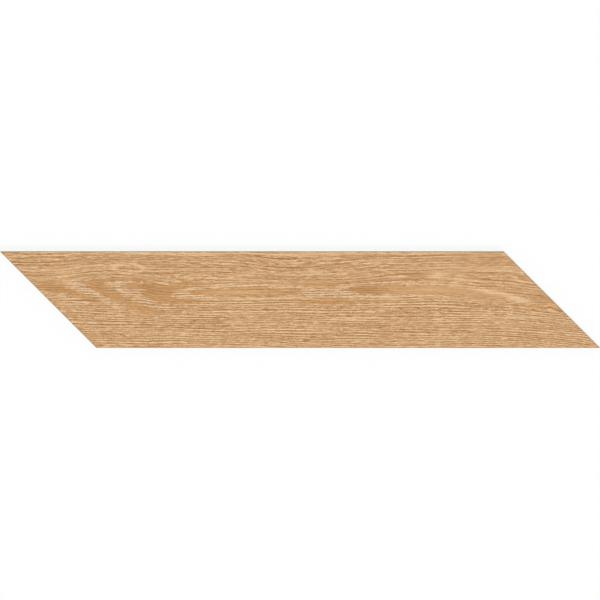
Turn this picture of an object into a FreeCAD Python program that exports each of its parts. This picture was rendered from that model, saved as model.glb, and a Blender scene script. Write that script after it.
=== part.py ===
import FreeCAD, Part
import math
import os
import Sketcher

# Chevron wall tile: one plank of fired porcelain whose two ends are mitred the same way, so that its
# face is a parallelogram and a row of them meets a mirrored row in a zigzag. The tile lies on its back
# with its face up. The origin is the middle of the back, X runs along the plank, Y across it, and Z
# comes out of the face.

NODE_NAME = "tile"

# Driving dimensions: lengths in millimetres, angles in degrees
DRIVING_SIZES = {
    "side_length": 490.0,    # each long side, from its acute tip to its obtuse corner
    "tile_width": 94.0,      # square across the plank, from one long side to the other
    "mitre_angle": 45.0,     # between a long side and a mitred end, at the acute tip
    "thickness": 9.0,        # from the tops of the back's ribs to the face
    "arris_bevel": 0.6,      # ground off each of the four edges round the face
    "rib_width": 4.0,        # between two grooves; the tile lies on its ribs
    "groove_width": 7.0,     # mouth of a groove, from rib to rib
    "groove_depth": 0.7,     # from the tops of the ribs to a groove's bottom
    "flank_angle": 55.0,     # between a groove's flank and the back, for release from the press
    "hollow_radius": 0.35,   # where a flank meets a groove's bottom
    "edge_land": 4.0,        # least plain land left beside a long side
}

# The grooves lie in equal numbers on both sides of the middle rib, as many as the width takes
GROOVE_PITCH = "(Sizes.groove_width + Sizes.rib_width)"
ROOM_FROM_MIDDLE = "(Sizes.tile_width / 2 - Sizes.edge_land + Sizes.rib_width / 2)"
GROOVE_COUNT = f"(2 * floor({ROOM_FROM_MIDDLE} / {GROOVE_PITCH}))"
PATTERN_LENGTH = f"({GROOVE_COUNT} - 1) * {GROOVE_PITCH}"

# The ends of a sketch's line or arc, and the sketch's own origin and horizontal axis
START = 1
END = 2
ORIGIN = -1
X_AXIS = -1

# How far two computed values may differ and still be the same
TOLERANCE = 0.001


def fill_sheet(doc):
    """Put each driving size in a cell of its own, with its name as the cell's alias."""
    sheet = doc.addObject("Spreadsheet::Sheet", "Sizes")
    for row, (alias, value) in enumerate(DRIVING_SIZES.items(), start=1):
        sheet.set(f"A{row}", alias)
        sheet.set(f"B{row}", str(value))
        sheet.setAlias(f"B{row}", alias)
    doc.recompute()
    return sheet


def plane_sketch(body, name, role):
    """Start a sketch on one of the body's own origin planes."""
    sketch = body.newObject("Sketcher::SketchObject", name)
    plane = next(feature for feature in body.Origin.OriginFeatures if feature.Role == role)
    sketch.AttachmentSupport = [(plane, "")]
    sketch.MapMode = "FlatFace"
    return sketch


def add_line(sketch, start, end):
    """Draw a straight line in a sketch."""
    return sketch.addGeometry(Part.LineSegment(FreeCAD.Vector(*start), FreeCAD.Vector(*end)), False)


def add_arc(sketch, centre, radius, from_angle, to_angle):
    """Draw an arc in a sketch, anticlockwise from one angle to the other."""
    circle = Part.Circle(FreeCAD.Vector(*centre), FreeCAD.Vector(0, 0, 1), radius)
    return sketch.addGeometry(Part.ArcOfCircle(circle, from_angle, to_angle), False)


def join(sketch, kind, first, first_end, second, second_end):
    """Join the ends of two pieces of a sketch, at a corner or smoothly."""
    sketch.addConstraint(Sketcher.Constraint(kind, first, first_end, second, second_end))


def tie(sketch, constraint, name, expression):
    """Name a sketch's dimension and tie it to the sheet."""
    index = sketch.addConstraint(constraint)
    sketch.renameConstraint(index, name)
    sketch.setExpression("Constraints." + name, expression)


def draw_face(body):
    """The parallelogram of the face, centred on the origin, with its acute tips at -X+Y and +X-Y."""
    side = DRIVING_SIZES["side_length"]
    width = DRIVING_SIZES["tile_width"]
    run = width / math.tan(math.radians(DRIVING_SIZES["mitre_angle"]))
    tip = (side + run) / 2
    sketch = plane_sketch(body, "FaceOutline", "XY_Plane")
    far_side = add_line(sketch, (-tip, width / 2), (tip - run, width / 2))
    right_end = add_line(sketch, (tip - run, width / 2), (tip, -width / 2))
    near_side = add_line(sketch, (tip, -width / 2), (run - tip, -width / 2))
    left_end = add_line(sketch, (run - tip, -width / 2), (-tip, width / 2))

    join(sketch, "Coincident", far_side, END, right_end, START)
    join(sketch, "Coincident", right_end, END, near_side, START)
    join(sketch, "Coincident", near_side, END, left_end, START)
    join(sketch, "Coincident", left_end, END, far_side, START)
    sketch.addConstraint(Sketcher.Constraint("Horizontal", far_side))
    sketch.addConstraint(Sketcher.Constraint("Horizontal", near_side))
    sketch.addConstraint(Sketcher.Constraint("Parallel", right_end, left_end))
    sketch.addConstraint(
        Sketcher.Constraint("Symmetric", far_side, START, near_side, START, ORIGIN, START)
    )
    along = Sketcher.Constraint("DistanceX", far_side, START, far_side, END, side)
    tie(sketch, along, "along", "Sizes.side_length")
    across = Sketcher.Constraint("DistanceY", left_end, START, left_end, END, width)
    tie(sketch, across, "across", "Sizes.tile_width")
    end_run = Sketcher.Constraint("DistanceX", left_end, END, left_end, START, run)
    tie(sketch, end_run, "end_run", "Sizes.tile_width / tan(Sizes.mitre_angle * 1 deg)")
    return sketch


def draw_groove(body):
    """The outermost groove on the +Y side: a mouth, sloping flanks and a bottom with hollow corners."""
    mouth = DRIVING_SIZES["groove_width"]
    depth = DRIVING_SIZES["groove_depth"]
    radius = DRIVING_SIZES["hollow_radius"]
    slope = math.radians(DRIVING_SIZES["flank_angle"])
    near = mouth
    far = near + mouth
    lean = depth / math.tan(slope)
    trim = radius * math.tan(slope / 2)
    # A hollow starts on the flank and ends on the bottom, the same length from their corner
    on_flank = lean - trim * math.cos(slope)
    on_bottom = lean + trim
    hollow_start_z = depth - trim * math.sin(slope)
    hollow_centre_z = depth - radius

    sketch = plane_sketch(body, "GrooveSection", "YZ_Plane")
    opening = add_line(sketch, (far, 0), (near, 0))
    near_flank = add_line(sketch, (near, 0), (near + on_flank, hollow_start_z))
    near_hollow = add_arc(
        sketch, (near + on_bottom, hollow_centre_z), radius, math.pi / 2, math.pi / 2 + slope
    )
    bottom = add_line(sketch, (near + on_bottom, depth), (far - on_bottom, depth))
    far_hollow = add_arc(
        sketch, (far - on_bottom, hollow_centre_z), radius, math.pi / 2 - slope, math.pi / 2
    )
    far_flank = add_line(sketch, (far - on_flank, hollow_start_z), (far, 0))

    join(sketch, "Coincident", opening, END, near_flank, START)
    join(sketch, "Tangent", near_flank, END, near_hollow, END)
    join(sketch, "Tangent", near_hollow, START, bottom, START)
    join(sketch, "Tangent", bottom, END, far_hollow, END)
    join(sketch, "Tangent", far_hollow, START, far_flank, START)
    join(sketch, "Coincident", far_flank, END, opening, START)
    sketch.addConstraint(Sketcher.Constraint("PointOnObject", opening, START, X_AXIS))
    sketch.addConstraint(Sketcher.Constraint("Horizontal", opening))
    sketch.addConstraint(Sketcher.Constraint("Horizontal", bottom))
    sketch.addConstraint(Sketcher.Constraint("Equal", near_flank, far_flank))
    sketch.addConstraint(Sketcher.Constraint("Equal", near_hollow, far_hollow))
    wide = Sketcher.Constraint("DistanceX", opening, END, opening, START, mouth)
    tie(sketch, wide, "wide", "Sizes.groove_width")
    deep = Sketcher.Constraint("DistanceY", near_flank, START, bottom, START, depth)
    tie(sketch, deep, "deep", "Sizes.groove_depth")
    rounded = Sketcher.Constraint("Radius", near_hollow, radius)
    tie(sketch, rounded, "rounded", "Sizes.hollow_radius")
    sloped = Sketcher.Constraint("Angle", near_flank, slope)
    tie(sketch, sloped, "sloped", "Sizes.flank_angle")
    offset = Sketcher.Constraint("DistanceX", ORIGIN, START, near_flank, START, near)
    tie(sketch, offset, "offset", f"({PATTERN_LENGTH} - Sizes.groove_width) / 2")
    return sketch


def face_edges(shape, height):
    """Name the straight edges of a shape that lie wholly at one height above the back."""
    return [
        f"Edge{number}"
        for number, edge in enumerate(shape.Edges, start=1)
        if all(abs(vertex.Z - height) < TOLERANCE for vertex in edge.Vertexes)
    ]


def build_tile(doc):
    """Press the plank, key its back, and grind the edges round its face."""
    body = doc.addObject("PartDesign::Body", "Tile")
    body.Label = NODE_NAME

    blank = body.newObject("PartDesign::Pad", "Blank")
    blank.Profile = draw_face(body)
    blank.setExpression("Length", "Sizes.thickness")
    doc.recompute()
    blank_volume = blank.Shape.Volume

    groove_section = draw_groove(body)
    groove = body.newObject("PartDesign::Pocket", "Groove")
    groove.Profile = groove_section
    groove.Type = "ThroughAll"
    groove.SideType = "Symmetric"
    doc.recompute()
    groove_volume = blank_volume - groove.Shape.Volume

    grooves = body.newObject("PartDesign::LinearPattern", "Grooves")
    grooves.Originals = [groove]
    grooves.Direction = (groove_section, ["H_Axis"])
    grooves.Reversed = True
    grooves.setExpression("Length", PATTERN_LENGTH)
    grooves.setExpression("Occurrences", GROOVE_COUNT)
    body.Tip = grooves
    doc.recompute()
    cut_volume = blank_volume - grooves.Shape.Volume
    check_cut(groove_volume, cut_volume, grooves.Occurrences)

    arrises = body.newObject("PartDesign::Chamfer", "Arrises")
    arrises.Base = (grooves, face_edges(grooves.Shape, DRIVING_SIZES["thickness"]))
    arrises.setExpression("Size", "Sizes.arris_bevel")
    body.Tip = arrises
    body.Placement = FreeCAD.Placement()
    doc.recompute()
    return body


def check_cut(groove_volume, cut_volume, count):
    """Stop if the groove cut nothing, or if the row of grooves isn't all there."""
    if groove_volume <= 0:
        raise RuntimeError("the groove cuts nothing")
    if abs(cut_volume / (groove_volume * count) - 1) > TOLERANCE:
        raise RuntimeError("the row of grooves isn't complete")


def check_document(doc):
    """Stop if any object of the document failed."""
    for item in doc.Objects:
        if "Invalid" in item.State or "Error" in item.State:
            raise RuntimeError(f"{item.Name} failed: {item.State}")


def export(body):
    """Write the piece under its own name, once its shape is known to be sound."""
    shape = body.Shape
    if shape.isNull() or not shape.isValid() or len(shape.Solids) != 1:
        raise RuntimeError(f"{body.Label} isn't one sound solid")
    os.makedirs("parts", exist_ok=True)
    shape.exportStep(os.path.join("parts", body.Label + ".step"))
    box = shape.optimalBoundingBox(False, False)
    print(f"{body.Label}: {box.XLength:.2f} x {box.YLength:.2f} x {box.ZLength:.2f} mm")
    print(f"{body.Label}: {shape.Volume / 1000:.2f} cm3, {len(shape.Faces)} faces")


document = FreeCAD.newDocument("ChevronTile")
fill_sheet(document)
tile = build_tile(document)
check_document(document)
export(tile)
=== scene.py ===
import math
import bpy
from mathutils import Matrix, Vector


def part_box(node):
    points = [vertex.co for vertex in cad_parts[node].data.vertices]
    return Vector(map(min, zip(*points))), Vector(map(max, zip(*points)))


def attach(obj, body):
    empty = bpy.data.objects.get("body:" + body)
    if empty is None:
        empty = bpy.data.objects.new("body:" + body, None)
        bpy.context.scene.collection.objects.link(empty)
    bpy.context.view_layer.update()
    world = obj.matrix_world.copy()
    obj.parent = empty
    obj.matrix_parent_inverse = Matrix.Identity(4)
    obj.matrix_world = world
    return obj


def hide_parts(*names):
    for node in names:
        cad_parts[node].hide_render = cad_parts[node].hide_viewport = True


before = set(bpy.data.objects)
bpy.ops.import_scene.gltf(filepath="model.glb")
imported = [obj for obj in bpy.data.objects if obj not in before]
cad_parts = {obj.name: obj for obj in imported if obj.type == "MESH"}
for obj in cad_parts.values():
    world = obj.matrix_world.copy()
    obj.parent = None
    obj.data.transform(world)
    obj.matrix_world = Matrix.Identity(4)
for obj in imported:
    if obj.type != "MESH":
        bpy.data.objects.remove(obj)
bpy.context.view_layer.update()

from types import SimpleNamespace

import bpy
import numpy as np

# The fired plank
# One parallelogram of porcelain, pressed face up over a ribbed plate, fired flat, cut to its mitres and
# then ground at 45 degrees along the four edges of its face.

# The frame's origin is the middle of the plank's back
HALF_LENGTH, HALF_WIDTH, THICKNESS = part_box("tile")[1]
MITRE = math.radians(45)
LEAN = 1 / math.tan(MITRE)              # how far an end moves along X for each unit across
HALF_SIDE = HALF_LENGTH - HALF_WIDTH * LEAN
BEVEL = 0.0006                          # ground off each edge of the face
RIB = 0.004
GROOVE = 0.007
GROOVE_DEPTH = 0.0007
FLANK = math.radians(55)
HOLLOW = 0.00035                        # radius between a flank and a groove's bottom
EDGE_LAND = 0.004                       # least plain land left beside a long side
FACE_COLUMNS = 300
FACE_ROWS = 268
BACK_COLUMNS = 12
HOLLOW_STEPS = 3
PRINTED, BARE = 0, 1                    # the numbers of the two finishes


def on_plank(along, across, inset=0.0):
    """A place on the parallelogram, from 0 to 1 along and across, with its edges drawn in by inset."""
    y = (2 * across - 1) * (HALF_WIDTH - inset)
    x = (2 * along - 1) * (HALF_SIDE - inset / math.sin(MITRE)) - y * LEAN
    return x, y


def back_section():
    """The back across the plank, as (y, z) from one long side to the other."""
    pitch = GROOVE + RIB
    half_count = math.floor((HALF_WIDTH - EDGE_LAND + RIB / 2) / pitch)
    hollow_y = GROOVE_DEPTH / math.tan(FLANK) + HOLLOW * math.tan(FLANK / 2) - GROOVE / 2
    half_groove = [(-GROOVE / 2, 0.0)]
    for step in range(HOLLOW_STEPS + 1):
        turn = FLANK * (1 - step / HOLLOW_STEPS)
        z = GROOVE_DEPTH - HOLLOW * (1 - math.cos(turn))
        half_groove.append((hollow_y - HOLLOW * math.sin(turn), z))
    groove = half_groove + [(-y, z) for y, z in reversed(half_groove)]
    across_back = [(-HALF_WIDTH, 0.0)]
    for number in range(-half_count, half_count):
        across_back += [((number + 0.5) * pitch + y, z) for y, z in groove]
    return across_back + [(HALF_WIDTH, 0.0)]


class Skin:
    """The plank's skin as it is put together: its points and faces, each with a place on a flat map."""

    def __init__(self):
        self.points = []
        self.faces = []
        self.flat = []
        self.finishes = []

    def add_point(self, x, y, z):
        self.points.append((x, y, z))
        return len(self.points) - 1

    def add_face(self, corners, flat, finish):
        self.faces.append(corners)
        self.flat += flat
        self.finishes.append(finish)

    def add_strip(self, left, right, flat_left, flat_right, finish):
        """Quads between two rows of as many points, left being on the left of the way they run."""
        for n in range(len(left) - 1):
            corners = (right[n], right[n + 1], left[n + 1], left[n])
            flat = [flat_right[n], flat_right[n + 1], flat_left[n + 1], flat_left[n]]
            self.add_face(corners, flat, finish)

    def stitch(self, left, right, flat_left, flat_right, finish):
        """Triangles between two rows of unlike count, matched by how far along the map each point is."""
        n = m = 0
        while n < len(left) - 1 or m < len(right) - 1:
            if m == len(right) - 1 or (
                n < len(left) - 1 and flat_left[n + 1][0] <= flat_right[m + 1][0]
            ):
                corners = (left[n], right[m], left[n + 1])
                flat = [flat_left[n], flat_right[m], flat_left[n + 1]]
                n += 1
            else:
                corners = (left[n], right[m], right[m + 1])
                flat = [flat_left[n], flat_right[m], flat_right[m + 1]]
                m += 1
            self.add_face(corners, flat, finish)


# Where each part of the skin lies on the flat map, as (left, bottom, right, top)
FACE_MAP = (0.004, 0.004, 0.996, 0.74)
PRINT_MAP = (0.0065, 0.010, 0.9935, 0.734)      # the bevel takes the rest of the face's map
WALL_MAPS = [
    (0.004, 0.752, 0.996, 0.772),       # the side at -Y
    (0.004, 0.804, 0.274, 0.824),       # the right-hand mitre
    (0.004, 0.778, 0.996, 0.798),       # the side at +Y
    (0.284, 0.804, 0.554, 0.824),       # the left-hand mitre
]
BACK_MAP = (0.004, 0.832, 0.996, 0.996)


def on_map(region, along, across):
    """A place on the flat map, from 0 to 1 along and across one of its regions."""
    left, bottom, right, top = region
    return left + along * (right - left), bottom + across * (top - bottom)


def ring_of(grid):
    """The four borders of a grid of [column][row], anticlockwise from its first corner."""
    near = [column[0] for column in grid]
    right = list(grid[-1])
    far = [column[-1] for column in reversed(grid)]
    left = list(reversed(grid[0]))
    return [near, right, far, left]


skin = Skin()
face_spots = [
    [(i / FACE_COLUMNS, j / FACE_ROWS) for j in range(FACE_ROWS + 1)]
    for i in range(FACE_COLUMNS + 1)
]
face = [
    [skin.add_point(*on_plank(*spot, BEVEL), THICKNESS) for spot in column] for column in face_spots
]
face_flat = [[on_map(PRINT_MAP, *spot) for spot in column] for column in face_spots]
for i in range(FACE_COLUMNS):
    skin.add_strip(face[i], face[i + 1], face_flat[i], face_flat[i + 1], PRINTED)

# The bevel runs from the face's rim down to the top of the walls
wall_top_z = THICKNESS - BEVEL
wall_top = [
    [skin.add_point(*on_plank(*spot), wall_top_z) for spot in side] for side in ring_of(face_spots)
]
outer_flat = [[on_map(FACE_MAP, *spot) for spot in side] for side in ring_of(face_spots)]
rim = ring_of(face)
rim_flat = ring_of(face_flat)
for side in range(4):
    # A corner belongs to the two sides that meet there
    wall_top[side][-1] = wall_top[(side + 1) % 4][0]
    skin.add_strip(rim[side], wall_top[side], rim_flat[side], outer_flat[side], BARE)

section = back_section()
walk = [0.0]
for here, there in zip(section, section[1:]):
    walk.append(walk[-1] + math.dist(here, there))
back = []
back_flat = []
for i in range(BACK_COLUMNS + 1):
    along = i / BACK_COLUMNS
    back.append([skin.add_point(*on_plank(along, (y / HALF_WIDTH + 1) / 2), z) for y, z in section])
    back_flat.append([on_map(BACK_MAP, along, step / walk[-1]) for step in walk])
for i in range(BACK_COLUMNS):
    skin.add_strip(back[i + 1], back[i], back_flat[i + 1], back_flat[i], BARE)


def unrolled(region, row, first, last):
    """Where a row of a wall's points lies on the flat map, counted from the wall's first corner."""
    length = math.dist(first[:2], last[:2])
    places = [skin.points[point] for point in row]
    return [on_map(region, math.dist(first[:2], (x, y)) / length, z / wall_top_z) for x, y, z in places]


# The walls join the bevel to the back, whose points are further apart
for region, upper_row, lower_row in zip(WALL_MAPS, wall_top, ring_of(back)):
    corners = (skin.points[upper_row[0]], skin.points[upper_row[-1]])
    upper_flat = unrolled(region, upper_row, *corners)
    lower_flat = unrolled(region, lower_row, *corners)
    skin.stitch(upper_row, lower_row, upper_flat, lower_flat, BARE)

mesh = bpy.data.meshes.new("chevron_tile")
mesh.from_pydata(skin.points, [], skin.faces)
mesh.uv_layers.new(name="OFBake").data.foreach_set("uv", np.array(skin.flat, "f").ravel())
mesh.polygons.foreach_set("material_index", skin.finishes)
mesh.polygons.foreach_set("use_smooth", [True] * len(skin.faces))
face_points = np.zeros(len(skin.points), "f")
face_points[np.ravel(face)] = 1
mesh.attributes.new("on_face", "FLOAT", "POINT").data.foreach_set("value", face_points)
mesh.update()
tile = bpy.data.objects.new("chevron_tile", mesh)
bpy.context.collection.objects.link(tile)
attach(tile, "root")
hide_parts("tile")

# The oak figure
# The print is a plain-sawn oak board, limed and brushed. Its growth rings show as nested arches where
# the board was cut near the heart, and as long fine lines beside them. The relief follows the same rings,
# so both are worked out by the same sums: lengths here are millimetres on the face.

MILLIMETRES = 1000
FIGURE_HALF_LENGTH = 300                # the curves below run this far each way along X
FIGURE_HEIGHT = 60                      # and hold heights up to this far each way
HEART_LINE = [                          # where the heart runs across the face, as (x, y)
    (-300, 17.0), (-245, 17.2), (-215, 17.4), (-190, 15.8), (-173, 15.2), (-155, 14.2), (-146, 11.4),
    (-136, 8.1), (-126, 5.9), (-108, 6.3), (-50, 6.8), (0, 6.8), (48, 8.8), (70, 9.3), (130, 9), (175, 5),
    (204, 1), (223, -3), (300, -9),
]
HEART_Y = 8.5                           # and where it runs on average
HEART_BAND_ABOVE = 6                    # how far above it the lines swing with it
HEART_BAND_WIDENS = 0.9                 # and how much further for each millimetre that it has swung
HEART_BAND_BELOW = 18                   # how far below it they swing with it
GRAIN_FOLLOWS = 0.4                     # how much of that swing the pores take, as they run along
UPPER_SWAY = [                          # how far the lines of the upper side rise and fall
    (-300, -2), (-234, -2), (-188, 2.5), (-140, 2), (-60, 0.5), (-10, -4), (45, -1.5), (97, 2.5),
    (175, 3.5), (300, 4),
]
UPPER_SWAY_STARTS = (10, 28)            # the heights between which that comes in
UPPER_SWAY_EASES = (33, 46)             # and between which it goes out again
UPPER_SWAY_EASING = 0.7                 # by this share
LOWER_SWAY = [                          # how far those of the lower side rise and fall
    (-300, 3), (-230, 2), (-180, 0), (-60, 0), (0, -1.2), (60, -2), (150, -2.5), (200, -3),
    (240, -5.5), (300, -13),
]
LOWER_SWAY_STARTS = (-2, -14)           # the heights between which that comes in
CUT_DEPTH = [                           # how deep under the ring tops the saw passed
    (-300, 23.8), (-255, 23.2), (-232, 21.0), (-215, 17.9), (-195, 15.6), (-183, 13.8), (-173, 11.7),
    (-155, 10.7), (-136, 9.4), (-126, 8.2), (-117, 6.9), (-108, 5.45), (-80, 3.4), (-40, 2.6), (-10, 4.6),
    (3, 5.6), (13, 6.6), (24, 7.2), (36, 6.9), (44, 6.1), (50, 5.2), (60, 3.8), (80, 2.8), (130, 2.6),
    (170, 3.3), (198, 4.8), (225, 7.5), (300, 13),
]
UPPER_SQUEEZE = [                       # how closely the rings are packed above the heart
    (-300, 1.2), (-215, 1.2), (-190, 1.4), (-155, 1.5), (-146, 1.2), (-136, 0.98), (-126, 0.90),
    (-108, 0.93), (-80, 1), (30, 1), (60, 0.82), (120, 0.9), (180, 1), (300, 1),
]
LOWER_SQUEEZE = [                       # and below it
    (-300, 1), (-205, 1), (-188, 0.86), (-174, 0.72), (-160, 0.58), (-148, 0.53), (-134, 0.62),
    (-121, 0.72), (-106, 0.87), (-85, 1), (-20, 1), (27, 0.73), (60, 0.82), (120, 0.95), (300, 1),
]
RING_WIDTH = 6.2                        # what the tree grew in a year
RING_START = 0.12                       # where in a ring the very heart lies
LIMED_SHARE = [                         # the share of a ring's width, from its start, that took the lime
    (-300, 0.56), (-215, 0.56), (-205, 0.56), (-188, 0.62), (-174, 0.54), (-160, 0.38), (-140, 0.34),
    (-124, 0.44), (-108, 0.54), (-98, 0.56), (-88, 0.56), (300, 0.56),
]
LIME_STARTS = (-0.02, 0.03)             # the lime is sharp where a ring starts
LIME_FULL = 0.10                        # and thins out from here to its share of the ring
PLAIN_STARTS = (-0.22, 0.04)            # the plain late wood comes in round the end of that share
PLAIN_ENDS = (1.01, 0.97)               # and ends sharply where the next ring starts
FIGURE_REACH = 5                        # how far from the heart the rings show
FIGURE_WIDENS = 0.4                     # and how much further for each millimetre of the cut's depth
FIGURE_EDGE = (1.65, 0.95)              # gone beyond the first of these shares of it, full within the second
FIGURE_FADES = [                        # where they grow fainter along X: from, to, and by what share
    (-222, -258, 0.7), (-115, -70, 0.10), (105, 165, 0.5),
]
UPPER_LINES = (12, 24)                  # the heights between which the upper side's smoother lines start
NOISE_AXIS = (1, 0.6, 0.8)              # what the soft patches are turned about


class Wire:
    """A number or vector on its way through a node tree. Sums on it add the nodes that work them out."""

    def __init__(self, tree, socket=None):
        self.tree = tree
        self.socket = socket

    def add(self, kind, settings=None, sockets=None, output=0):
        """Add a node, set it up, then link or set its sockets, and give the wire that leaves it."""
        node = self.tree.nodes.new(kind)
        for name, value in (settings or {}).items():
            if name == "stops":
                self.set_stops(node.color_ramp, value)
            elif name == "curve":
                self.set_curve(node.mapping, value)
            else:
                setattr(node, name, value)
        for key, value in (sockets or {}).items():
            socket = self.pick(node.inputs, key)
            if isinstance(value, Wire):
                self.tree.links.new(value.socket, socket)
            else:
                socket.default_value = value
        return Wire(self.tree, self.pick(node.outputs, output))

    @staticmethod
    def set_stops(ramp, stops):
        """Give a colour ramp its stops, each a position and a colour."""
        while len(ramp.elements) < len(stops):
            ramp.elements.new(1.0)
        for stop, (position, colour) in zip(ramp.elements, stops):
            stop.position = position
            stop.color = (*colour, 1)

    @staticmethod
    def set_curve(mapping, places):
        """Lead a curve through places that run from 0 to 1 both ways."""
        points = mapping.curves[0].points
        while len(points) < len(places):
            points.new(1.0, 1.0)
        for point, place in zip(points, places):
            point.location = place
        mapping.update()

    @staticmethod
    def pick(sockets, key):
        """A socket by its number, or the one in use among those of a name."""
        if isinstance(key, int):
            return sockets[key]
        return next(socket for socket in sockets if socket.name == key and socket.enabled)

    def feed(self, node, name):
        """Lead this wire to a socket of a node that is there already."""
        self.tree.links.new(self.socket, node.inputs[name])

    def maths(self, operation, *others):
        """This wire, and any others, through a Math node."""
        return self.add("ShaderNodeMath", {"operation": operation}, dict(enumerate((self, *others))))

    def __add__(self, other):
        return self.maths("ADD", other)

    def __sub__(self, other):
        return self.maths("SUBTRACT", other)

    def __mul__(self, other):
        return self.maths("MULTIPLY", other)

    def __truediv__(self, other):
        return self.maths("DIVIDE", other)

    def __pow__(self, other):
        return self.maths("POWER", other)

    def __rsub__(self, other):
        return self.add("ShaderNodeMath", {"operation": "SUBTRACT"}, {0: other, 1: self})

    def __neg__(self):
        return self * -1

    __radd__ = __add__
    __rmul__ = __mul__

    def part(self, axis):
        """The X, Y or Z of a vector."""
        return self.add("ShaderNodeSeparateXYZ", sockets={"Vector": self}, output=axis)

    def steps(self, start, end):
        """0 below start and 1 beyond end, with a smooth rise between; falls where end is the lower."""
        places = {"Value": self, "From Min": start, "From Max": end}
        return self.add("ShaderNodeMapRange", {"interpolation_type": "SMOOTHSTEP"}, places)

    def fade(self):
        """1 where this is 0, falling smoothly to nothing as it grows."""
        return (-self).maths("EXPONENT")

    def along_curve(self, places):
        """A height read off a smooth curve through places, given as (x, height) in millimetres."""
        curve = [
            (x / FIGURE_HALF_LENGTH / 2 + 0.5, height / FIGURE_HEIGHT / 2 + 0.5) for x, height in places
        ]
        share = self / FIGURE_HALF_LENGTH / 2 + 0.5
        read = self.add("ShaderNodeFloatCurve", {"curve": curve}, {"Value": share})
        return (read - 0.5) * 2 * FIGURE_HEIGHT

    def tinted(self, share, colour, blend="MIX"):
        """This colour with a share of another mixed in, or multiplied in."""
        settings = {"data_type": "RGBA", "blend_type": blend}
        return self.add("ShaderNodeMix", settings, {"Factor": share, "A": self, "B": colour}, "Result")


def cloud(x, y, length, width, seed, detail=0.0, roughness=0.5, turn=0.9):
    """Soft patches from -1 to 1, as long and wide as said, the same for the same seed."""
    where = x.add("ShaderNodeCombineXYZ", sockets={"X": x / length, "Y": y / width, "Z": seed})
    # Turned off the noise's own lattice, so that no rows of it show
    turned = x.add("ShaderNodeVectorRotate", sockets={"Vector": where, "Axis": NOISE_AXIS, "Angle": turn})
    look = {"Vector": turned, "Scale": 1.0, "Detail": detail, "Roughness": roughness}
    return x.add("ShaderNodeTexNoise", sockets=look) * 2 - 1


def threads(x, y, pitch, seed):
    """Long lines side by side, about a pitch apart, that wander, fade and come back."""
    wander = 0.8 * cloud(x, y, length=80, width=4 * pitch, seed=seed)
    wave = ((y / pitch + wander) * 2 * math.pi).maths("SINE")
    long_fade = 1.3 * cloud(x, y, length=40, width=1.6 * pitch, seed=seed + 1)
    short_fade = 0.4 * cloud(x, y, length=5, width=1.2 * pitch, seed=seed + 2)
    return wave * (0.75 + long_fade + short_fade)


def oak_figure(position):
    """The lie of the lines at a place on the face, and how limed or plain its wood is."""
    x = position.part("X") * MILLIMETRES
    y = position.part("Y") * MILLIMETRES

    # The lines waver, rise and fall, and swing round the heart of the board
    upper = y.steps(*UPPER_LINES)
    long_waver = 1.3 * cloud(x, y, length=50, width=18, seed=1.3, turn=0)
    short_waver = (0.3 - 0.18 * upper) * cloud(x, y, length=14, width=7, seed=2.1, turn=0)
    wavered = y + (long_waver + short_waver)
    upper_sway = y.steps(*UPPER_SWAY_STARTS) * (1 - UPPER_SWAY_EASING * y.steps(*UPPER_SWAY_EASES))
    from_mean = (
        wavered
        - x.along_curve(UPPER_SWAY) * upper_sway
        - x.along_curve(LOWER_SWAY) * y.steps(*LOWER_SWAY_STARTS)
        - HEART_Y
    )
    heart_swing = x.along_curve(HEART_LINE) - HEART_Y
    band_above = HEART_BAND_ABOVE + HEART_BAND_WIDENS * heart_swing.maths("ABSOLUTE")
    off_heart = (from_mean / band_above).maths("MAXIMUM", -from_mean / HEART_BAND_BELOW)
    swing = heart_swing * (off_heart * off_heart).fade()
    flow = from_mean - GRAIN_FOLLOWS * swing

    # The saw cuts the round rings at a slant, so they show as arches, ragged along the pores
    across = from_mean - swing
    above = across * x.along_curve(UPPER_SQUEEZE)
    below = -across * x.along_curve(LOWER_SQUEEZE)
    packed = above.maths("MAXIMUM", below)
    depth = x.along_curve(CUT_DEPTH)
    from_pith = (packed ** 2 + depth ** 2) ** 0.5
    long_rags = 0.16 * cloud(x, flow, length=40, width=6, seed=3.7)
    short_rags = 0.24 * cloud(x, flow, length=6, width=1, seed=4.1)
    age = (from_pith / RING_WIDTH + RING_START + (long_rags + short_rags)).maths("FRACT")
    figure = (packed / (FIGURE_WIDENS * depth + FIGURE_REACH)).steps(*FIGURE_EDGE)
    for start, end, fainter in FIGURE_FADES:
        figure = figure * (1 - fainter * x.steps(start, end))
    share = x.along_curve(LIMED_SHARE)
    plain_from, plain_to = (share + offset for offset in PLAIN_STARTS)
    return SimpleNamespace(
        x=x,
        y=y,
        wavered=wavered,
        upper=upper,
        flow=flow,
        limed=age.steps(share, LIME_FULL) * age.steps(*LIME_STARTS) * figure,
        plain=age.steps(plain_from, plain_to) * age.steps(*PLAIN_ENDS) * figure,
        lines={
            "thread": threads(x, flow, pitch=2.2, seed=21.3),
            "strand": threads(x, flow, pitch=3.5, seed=31.7),
            "fine": cloud(x, flow, length=110, width=0.85, seed=5.2),
            "line": cloud(x, flow, length=60, width=1.7, seed=7.9),
        },
    )


# The brushed relief
# The press plate stamps the grain into the face under its print, a shallow groove along each open pore.
# It only ever goes down from the face, and the bevel is ground afterwards, so its upper edge follows.

RELIEF_DEPTH = 0.00020                  # of the deepest grooves
MEAN_DEPTH = 0.30                       # as a share of that
LINE_DEPTHS = {"thread": -0.30, "strand": -0.25, "line": -0.9, "fine": -0.5}    # dark lines lie deeper
LIME_DEPTH = 0.25                       # and so does the limed wood
SHARP_ANGLE = math.radians(28)          # the bevel's edges turn more than this, the grain less

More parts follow.
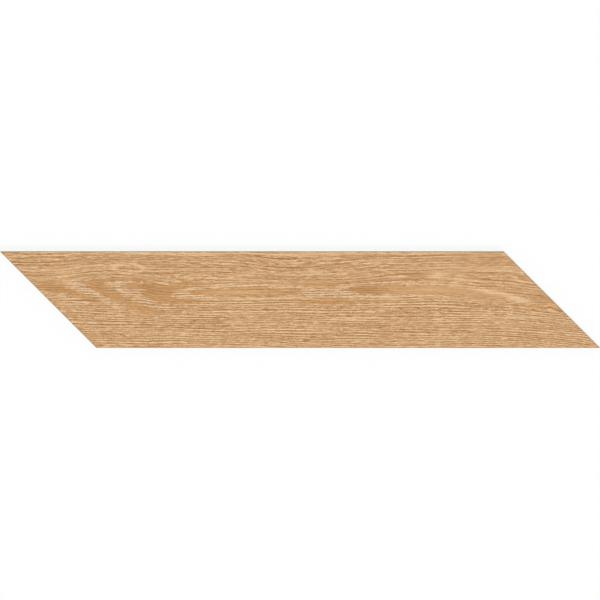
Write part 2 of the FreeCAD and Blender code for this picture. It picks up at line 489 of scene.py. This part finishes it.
relief = bpy.data.node_groups.new("relief", "GeometryNodeTree")
relief.interface.new_socket("Geometry", in_out="INPUT", socket_type="NodeSocketGeometry")
relief.interface.new_socket("Geometry", in_out="OUTPUT", socket_type="NodeSocketGeometry")
blank = Wire(relief, relief.nodes.new("NodeGroupInput").outputs["Geometry"])
plate = oak_figure(blank.add("GeometryNodeInputPosition"))
line_depth = sum(share * plate.lines[name] for name, share in LINE_DEPTHS.items())
brushed = MEAN_DEPTH + line_depth + LIME_DEPTH * plate.limed
drop = brushed.maths("MAXIMUM", 0).maths("MINIMUM", 1) * RELIEF_DEPTH
pressed = blank.add("GeometryNodeInputNamedAttribute", {"data_type": "FLOAT"}, {"Name": "on_face"})
down = blank.add("ShaderNodeCombineXYZ", sockets={"Z": -drop * pressed})
stamped = blank.add("GeometryNodeSetPosition", sockets={"Geometry": blank, "Offset": down})
stamped.feed(relief.nodes.new("NodeGroupOutput"), "Geometry")
tile.modifiers.new("relief", "NODES").node_group = relief

# The stamped shape takes the place of the flat one
depsgraph = bpy.context.evaluated_depsgraph_get()
stamped_mesh = bpy.data.meshes.new_from_object(tile.evaluated_get(depsgraph))
tile.modifiers.clear()
tile.data = stamped_mesh
coordinates = np.zeros(len(stamped_mesh.vertices) * 3, "f")
stamped_mesh.vertices.foreach_get("co", coordinates)
coordinates = coordinates.reshape(-1, 3)
for spots, points in zip(ring_of(face_spots), rim):
    for spot, point in zip(spots, points):
        lowered = THICKNESS - coordinates[point][2]
        coordinates[point][:2] = on_plank(*spot, BEVEL - lowered)
stamped_mesh.vertices.foreach_set("co", coordinates.ravel())
stamped_mesh.update()
stamped_mesh.set_sharp_from_angle(angle=SHARP_ANGLE)

# The print
# Glaze inks on a white engobe, fired matt: tan wood, browner late wood, and cream lime in the pores of
# the early wood. The lines are bold and even on the lower side of the heart, and finer on the upper side.


def srgb(red, green, blue):
    """A colour as its 0 to 255 screen values, made linear for a shader."""
    shares = [value / 255 for value in (red, green, blue)]
    return tuple(v / 12.92 if v <= 0.04045 else ((v + 0.055) / 1.055) ** 2.4 for v in shares)


def new_finish(name):
    """A new material, its shader, and a wire to start its nodes from."""
    finish = bpy.data.materials.new(name)
    finish.use_nodes = True
    return finish, finish.node_tree.nodes["Principled BSDF"], Wire(finish.node_tree)


WOOD_TONES = [
    (0.00, srgb(158, 112, 63)), (0.25, srgb(184, 138, 88)), (0.50, srgb(202, 157, 109)),
    (0.75, srgb(219, 176, 129)), (1.00, srgb(240, 203, 161)),
]
PLAIN_INK = (1.03, 0.97, 0.87, 1)       # tints the plain wood between the limed arches warmer
LIME_INK = (0.97, 1.015, 1.10, 1)       # and the limed arches cooler
MARKS = {                               # length, width, seed, detail and roughness, from long to short
    "pale_line": (110, 0.85, 12.1, 0.0, 0.5),
    "dark_line": (90, 0.9, 15.4, 0.0, 0.5),
    "dash": (22, 0.9, 6.4, 2.0, 0.6),
    "crack": (9, 0.46, 17.7, 1.0, 0.5),
    "pore": (8, 0.46, 11.6, 1.0, 0.5),
    "fleck": (3.6, 0.8, 13.3, 2.0, 0.6),
    "grit": (3.0, 0.9, 8.8, 1.0, 0.6),
    "tooth": (1.3, 0.8, 8.8, 0.0, 0.5),
}
MARK_EDGES = {                          # the crisp ones come in between these heights
    "pale_line": (0.20, 0.40), "dark_line": (0.20, 0.40), "pore": (0.14, 0.26), "crack": (0.14, 0.26),
}
LINE_TONES = {                          # how much each kind lightens, on the lower and the upper side
    "thread": (0.40, 0.14), "strand": (0.02, 0.17), "fine": (0.22, 0.32), "pale_line": (0.13, 0.30),
    "dark_line": (-0.11, -0.25),
}
MARK_TONES = {                          # and so for the shorter marks and the broad line under them
    "dash": (0.18, 0.10), "grit": (0.30, 0.18), "tooth": (0.32, 0.24), "line": (0.04, 0.04),
    "pore": (0.56, 0.56), "crack": (-0.56, -0.56),
}
PATCHES = [                             # x, y, rise along x, half length, half width, how much lighter
    (113, 23.5, 0, 13, 4.0, -0.24), (134, 24.2, 0, 6, 3.0, 0.34), (157, 18.5, -0.04, 14, 1.6, 0.25),
    (131, -29.5, 0, 4, 1.0, -0.40), (22, -25.5, 0, 16, 2.2, 0.14), (-146, 12.0, -0.3, 20, 4.5, -0.06),
    (-242, 10.5, -0.1, 18, 4.6, -0.14), (-250, 22.5, 0, 18, 3.0, -0.10), (29, 0.0, 0, 22, 3.6, 0.03),
    (-60, 6.9, 0, 30, 2.2, 0.22), (125, 9.0, 0, 34, 4.0, 0.22), (66, 9.0, 0, 18, 4.0, -0.18),
    (183, 7.8, -0.17, 18, 2.6, 0.36), (209, 1.4, -0.30, 14, 2.4, 0.36), (-230, 20.0, 0, 9, 6.0, 0.20),
    (-85, 28.5, 0, 9, 2.0, 0.24), (-115, 29, 0, 7, 1.6, 0.20), (-51, 24.6, 0.03, 13, 2.0, 0.22),
]
STREAKS = [                             # long thin ones, in the same order
    (-10, 44.8, 0, 260, 0.8, 0.24), (214, -17.4, 0, 42, 0.7, 0.30), (206, -35.5, -0.06, 34, 0.8, -0.30),
    (180, 29.6, 0, 30, 0.8, 0.28), (-41, 13.4, 0, 44, 0.7, 0.30), (-45, 0.8, 0, 45, 0.7, 0.22),
    (87, 1.2, -0.05, 42, 0.7, 0.25), (-60, 7.0, 0, 24, 0.6, 0.20),
]
MIDDLE_TONE = 0.51                      # of the wood before any of its marks
BOARD_TONE = 0.07                       # how much the slow changes over the board lighten it: its grain bands, and a painted sheen
DOT_TONE = 0.10                         # and the dots of ink
LIME_TONE = 0.17                        # and the lime
FLECK_TONE = 0.75                       # and the flecks in the lime
PLAIN_TONE = -0.14                      # and the plain wood
EYE_PLACE = (-167, 30.6)                # of a small eye of lime round darker wood
EYE_HALF_SIZE = (14.5, 4.2)
EYE_RIM_WIDTH = 0.45                    # as a share of its half size
EYE_LIME = 0.30                         # how much lighter its rim is
EYE_WOOD = -0.15                        # and its middle
SOFT_CORNER = ((90, 170), (-8, 8))      # towards the upper right, along X and Y, the grain is fainter
SOFT_CORNER_FADE = 0.34
PATCH_FADE = 0.5                        # the share of the grain lost in a patch
PATCH_FADE_STARTS = (0.05, 0.18)        # as it gets lighter or darker than these
PLAIN_LINE_FADE = 0.62                  # the share of the lines lost in the plain wood
BOLD_ARCHES = (-105, -130)              # left of here a further share of them is lost
BOLD_ARCH_FADE = 0.20
PLAIN_MARK_FADE = 0.55                  # the share of the marks lost in the plain wood


def patchiness(oak):
    """How much lighter a place is for the patches and streaks near it, and for the eye of lime."""
    lighter = 0
    for middle_x, middle_y, rise, half_length, half_width, strength in PATCHES + STREAKS:
        along = oak.x - middle_x
        aside = oak.wavered - middle_y - rise * along
        off = (along / half_length) ** 2 + (aside / half_width) ** 2
        lighter = lighter + strength * off.fade()
    eye_x, eye_y = EYE_PLACE
    eye_half_length, eye_half_width = EYE_HALF_SIZE
    off_eye = ((oak.x - eye_x) / eye_half_length) ** 2 + ((oak.wavered - eye_y) / eye_half_width) ** 2
    eye_rim = (((off_eye - 1) / EYE_RIM_WIDTH) ** 2).fade()
    return lighter + EYE_LIME * eye_rim + EYE_WOOD * (off_eye * 3).fade()


def weighed(kinds, tones, upper):
    """The sum of several kinds of line, each with its own weight on the lower and the upper side."""
    return sum((low + (high - low) * upper) * kinds[name] for name, (low, high) in tones.items())


printed, glaze, ink = new_finish("oak_print")
oak = oak_figure(ink.add("ShaderNodeTexCoord", output="Object"))
grain = {**oak.lines, **{name: cloud(oak.x, oak.flow, *shape) for name, shape in MARKS.items()}}
for name, edge in MARK_EDGES.items():
    grain[name] = grain[name].steps(*edge)
bands = cloud(oak.x, oak.flow, length=110, width=6, seed=9.4, detail=1.0)
# A painted sheen: broad soft patches, lighter and darker, across the board
painted_sheen = 0.9 * cloud(oak.x, oak.y, length=30, width=45, seed=27.3)
ink_dots = cloud(oak.x, oak.y, length=0.34, width=0.22, seed=19.3, detail=2.0, roughness=0.6)
patch = patchiness(oak)

soft_x, soft_y = SOFT_CORNER
in_patch = patch.maths("ABSOLUTE").steps(*PATCH_FADE_STARTS)
contrast = (1 - SOFT_CORNER_FADE * oak.y.steps(*soft_y) * oak.x.steps(*soft_x)) * (1 - PATCH_FADE * in_patch)
line_fade = PLAIN_LINE_FADE + BOLD_ARCH_FADE * oak.x.steps(*BOLD_ARCHES)
tone = (
    MIDDLE_TONE
    + weighed(grain, LINE_TONES, oak.upper) * (1 - line_fade * oak.plain) * contrast
    + weighed(grain, MARK_TONES, oak.upper) * (1 - PLAIN_MARK_FADE * oak.plain) * contrast
    + BOARD_TONE * (bands + painted_sheen)
    + DOT_TONE * ink_dots
    + patch
    + (LIME_TONE + FLECK_TONE * grain["fleck"]) * oak.limed
    + PLAIN_TONE * oak.plain
)
wood_colour = ink.add("ShaderNodeValToRGB", {"stops": WOOD_TONES}, {"Fac": tone})
wood_colour = wood_colour.tinted(oak.plain, PLAIN_INK, "MULTIPLY").tinted(oak.limed, LIME_INK, "MULTIPLY")
wood_colour.feed(glaze, "Base Color")
glaze_roughness = 0.56 + 0.10 * oak.limed - 0.06 * oak.plain + 0.10 * grain["dash"] + 0.08 * grain["grit"]
glaze_roughness.feed(glaze, "Roughness")
glaze.inputs["Specular IOR Level"].default_value = 0.35
# The finest pores and the tooth of the glaze, in millimetres
glaze_height = (
    0.030 * grain["dash"]
    - 0.035 * grain["pore"]
    - 0.035 * grain["crack"]
    + 0.014 * grain["grit"]
    + 0.008 * cloud(oak.x, oak.y, length=0.35, width=0.35, seed=41.0, detail=2.0)
)
glaze_bump = ink.add("ShaderNodeBump", sockets={"Height": glaze_height, "Distance": 1 / MILLIMETRES})
glaze_bump.feed(glaze, "Normal")
tile.data.materials.append(printed)

# The bare body
# Where no glaze lies the fired clay shows: ground smooth on the bevel and the sides, with the wheel's
# lines running along them, and coarser on the back, whose ribs keep a chalky wash from the kiln.

BODY_TONES = [(0.0, srgb(126, 102, 76)), (0.5, srgb(164, 137, 106)), (1.0, srgb(194, 170, 140))]
WASH = (*srgb(218, 209, 195), 1)
WASH_COVERS = 0.6
WASH_REACH = (0.14, 0.02)               # it ends between these heights, so it lies on the ribs alone
WASH_WORN = (-0.65, 0.35)
FACES_DOWN = (-0.5, -0.8)               # the slopes between which a surface counts as the back
SPECK_EDGE = (0.34, 0.52)
PALE_SPECK_EDGE = (-0.36, -0.55)

bare, biscuit, clay = new_finish("fired_body")
place = clay.add("ShaderNodeTexCoord", output="Object")
x, y, z = (place.part(axis) * MILLIMETRES for axis in "XYZ")
grains = clay.add("ShaderNodeCombineXYZ", sockets={"X": x, "Y": y, "Z": z})


def clumps(size, detail):
    """Clumps of one size in the clay, from -1 to 1."""
    look = {"Vector": grains, "Scale": 1 / size, "Detail": detail}
    return grains.add("ShaderNodeTexNoise", sockets=look) * 2 - 1


on_back = clay.add("ShaderNodeNewGeometry", output="True Normal").part("Z").steps(*FACES_DOWN)
ground = cloud(y - x, z, length=26, width=0.16, seed=51.0, detail=1.0) * (1 - on_back)
worn = (clumps(size=22, detail=4) + 0.7 * clumps(size=1.2, detail=2)).steps(*WASH_WORN)
wash = on_back * z.steps(*WASH_REACH) * worn
body_tone = (
    0.5
    + 0.28 * clumps(size=14, detail=3)
    + 0.30 * clumps(size=1.1, detail=2)
    + 0.30 * ground
    - 0.40 * clumps(size=0.32, detail=0).steps(*SPECK_EDGE)
    + 0.30 * clumps(size=0.45, detail=0).steps(*PALE_SPECK_EDGE)
)
body_colour = clay.add("ShaderNodeValToRGB", {"stops": BODY_TONES}, {"Fac": body_tone})
body_colour.tinted(wash * WASH_COVERS, WASH).feed(biscuit, "Base Color")
body_roughness = 0.74 + 0.12 * wash + 0.06 * clumps(size=0.6, detail=1) - 0.10 * (1 - on_back)
body_roughness.feed(biscuit, "Roughness")
# The wheel's lines, the coarse clay and the wash, in millimetres
coarse = clumps(size=0.5, detail=2) * (0.3 + 0.7 * on_back)
body_height = 0.012 * ground + 0.020 * coarse + 0.020 * wash
body_bump = clay.add("ShaderNodeBump", sockets={"Height": body_height, "Distance": 1 / MILLIMETRES})
body_bump.feed(biscuit, "Normal")
tile.data.materials.append(bare)

# The floor and the studio
# A white table, a plain soft sky and one broad lamp, with the camera straight above. The table is open
# under the tile, for a look from below.

FLOOR_SIZE = 6.0
FLOOR_GAP = 0.0003                      # between the tile and the edge of the opening
FLOOR_GLOW = 0.85                       # the share of the floor seen that is plain white paper
SKY = 0.75                              # the sky's share of the light; the lamp gives the rest
LAMP_TILT = math.radians(40)            # away from straight above
LAMP_TURN = math.radians(35)            # so that it comes from the far left
LAMP_WIDTH = math.radians(20)

floor_mesh = bpy.data.meshes.new("floor")
far = FLOOR_SIZE / 2
outside = [(-far, -far), (far, -far), (far, far), (-far, far)]
inside = [on_plank(*spot, -FLOOR_GAP) for spot in ((0, 0), (1, 0), (1, 1), (0, 1))]
floor_mesh.from_pydata(
    [(x, y, 0) for x, y in outside + inside],
    [],
    [(n, (n + 1) % 4, (n + 1) % 4 + 4, n + 4) for n in range(4)],
)
floor = bpy.data.objects.new("floor", floor_mesh)
bpy.context.collection.objects.link(floor)


def seen(sight):
    """1 for the rays that see, straight or by reflection, and 0 for those that only gather light."""
    camera_ray, glossy_ray, through_ray = (
        sight.add("ShaderNodeLightPath", output=f"Is {kind} Ray")
        for kind in ("Camera", "Glossy", "Transmission")
    )
    return camera_ray + glossy_ray + through_ray


floor_paint, paper, floor_sight = new_finish("floor")
paper.inputs["Base Color"].default_value = (1, 1, 1, 1)
paper.inputs["Roughness"].default_value = 0.9
white = floor_sight.add("ShaderNodeEmission", sockets={"Color": (1, 1, 1, 1), "Strength": 1.0})
lit = Wire(floor_paint.node_tree, paper.outputs["BSDF"])
glow = {"Fac": seen(floor_sight) * FLOOR_GLOW, 1: lit, 2: white}
from_above = floor_sight.add("ShaderNodeMixShader", sockets=glow)
# From below the floor is clear
backfacing = floor_sight.add("ShaderNodeNewGeometry", output="Backfacing")
clear = floor_sight.add("ShaderNodeBsdfTransparent")
either_way = floor_sight.add("ShaderNodeMixShader", sockets={"Fac": backfacing, 1: from_above, 2: clear})
either_way.feed(floor_paint.node_tree.nodes["Material Output"], "Surface")
floor_mesh.materials.append(floor_paint)

world = bpy.data.worlds.new("studio")
world.use_nodes = True
sky = world.node_tree.nodes["Background"]
sky.inputs["Color"].default_value = (1, 1, 1, 1)
seen(Wire(world.node_tree)).maths("MAXIMUM", SKY).feed(sky, "Strength")
bpy.context.scene.world = world

lamp = bpy.data.objects.new("lamp", bpy.data.lights.new("lamp", "SUN"))
bpy.context.collection.objects.link(lamp)
lamp.data.angle = LAMP_WIDTH
lamp.data.energy = (1 - SKY) * math.pi / math.cos(LAMP_TILT)
lamp.rotation_euler = (LAMP_TILT, 0, LAMP_TURN)

FRAME_WIDTH = 0.5833                    # what the picture shows from side to side, at the face
CAMERA_HEIGHT = 4.0
CAMERA_Y = -0.0004                      # the tile hangs half a pixel above the middle of the picture
camera = bpy.data.objects.new("camera", bpy.data.cameras.new("camera"))
bpy.context.collection.objects.link(camera)
camera.location = (0, CAMERA_Y, THICKNESS + CAMERA_HEIGHT)
camera.data.sensor_width = 36
camera.data.lens = camera.data.sensor_width * CAMERA_HEIGHT / FRAME_WIDTH
bpy.context.scene.camera = camera
bpy.context.scene.view_settings.view_transform = "Standard"
